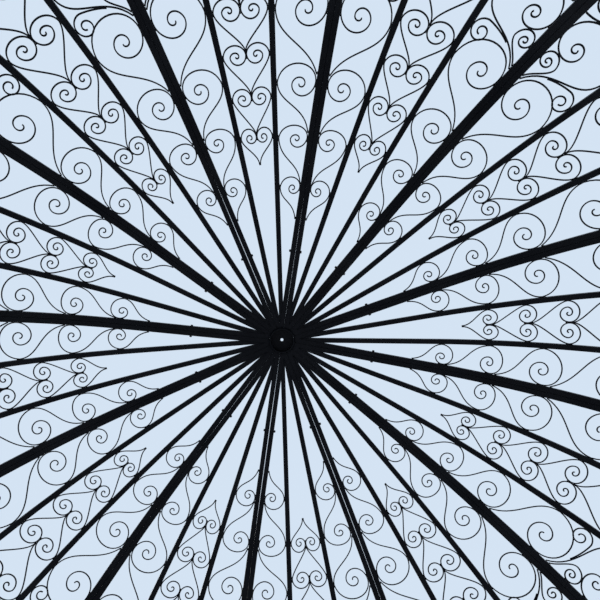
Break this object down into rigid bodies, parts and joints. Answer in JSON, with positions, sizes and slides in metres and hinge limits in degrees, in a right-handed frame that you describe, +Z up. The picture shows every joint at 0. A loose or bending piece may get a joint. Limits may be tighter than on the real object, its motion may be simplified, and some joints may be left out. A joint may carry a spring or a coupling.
{
  "type": "gazebo dome roof frame",
  "caption": "Domed wrought-iron gazebo roof: pie-shaped bolted panels of curved square tube filled with heart and whorl scrolls, on an eave ring with post plates.",
  "frame": {"origin": "centre of the base, on the plane of the undersides of the post plates", "axes": "+Z up along the roof's axis; the joint of the first and last panels lies over +X"},
  "size_m": [4.1116, 4.0216, 1.4426],
  "materials": {
    "black_iron": "satin black paint on mild steel",
    "black_scrolls": "satin black paint on forged bar"
  },
  "bodies": {
    "root": {"panel_01_frame": "black_iron", "panel_01_bars": "black_iron", "panel_01_scrolls": "black_scrolls", "panel_02_frame": "black_iron", "panel_02_bars": "black_iron", "panel_02_scrolls": "black_scrolls", "panel_03_frame": "black_iron", "panel_03_bars": "black_iron", "panel_03_scrolls": "black_scrolls", "panel_04_frame": "black_iron", "panel_04_bars": "black_iron", "panel_04_scrolls": "black_scrolls", "panel_05_frame": "black_iron", "panel_05_bars": "black_iron", "panel_05_scrolls": "black_scrolls", "panel_06_frame": "black_iron", "panel_06_bars": "black_iron", "panel_06_scrolls": "black_scrolls", "panel_07_frame": "black_iron", "panel_07_bars": "black_iron", "panel_07_scrolls": "black_scrolls", "panel_08_frame": "black_iron", "panel_08_bars": "black_iron", "panel_08_scrolls": "black_scrolls", "panel_09_frame": "black_iron", "panel_09_bars": "black_iron", "panel_09_scrolls": "black_scrolls", "panel_10_frame": "black_iron", "panel_10_bars": "black_iron", "panel_10_scrolls": "black_scrolls", "panel_11_frame": "black_iron", "panel_11_bars": "black_iron", "panel_11_scrolls": "black_scrolls", "panel_12_frame": "black_iron", "panel_12_bars": "black_iron", "panel_12_scrolls": "black_scrolls", "crown_collar": "black_iron", "crown_plate": "black_iron", "post_plates": "black_iron"}
  },
  "joints": []
}
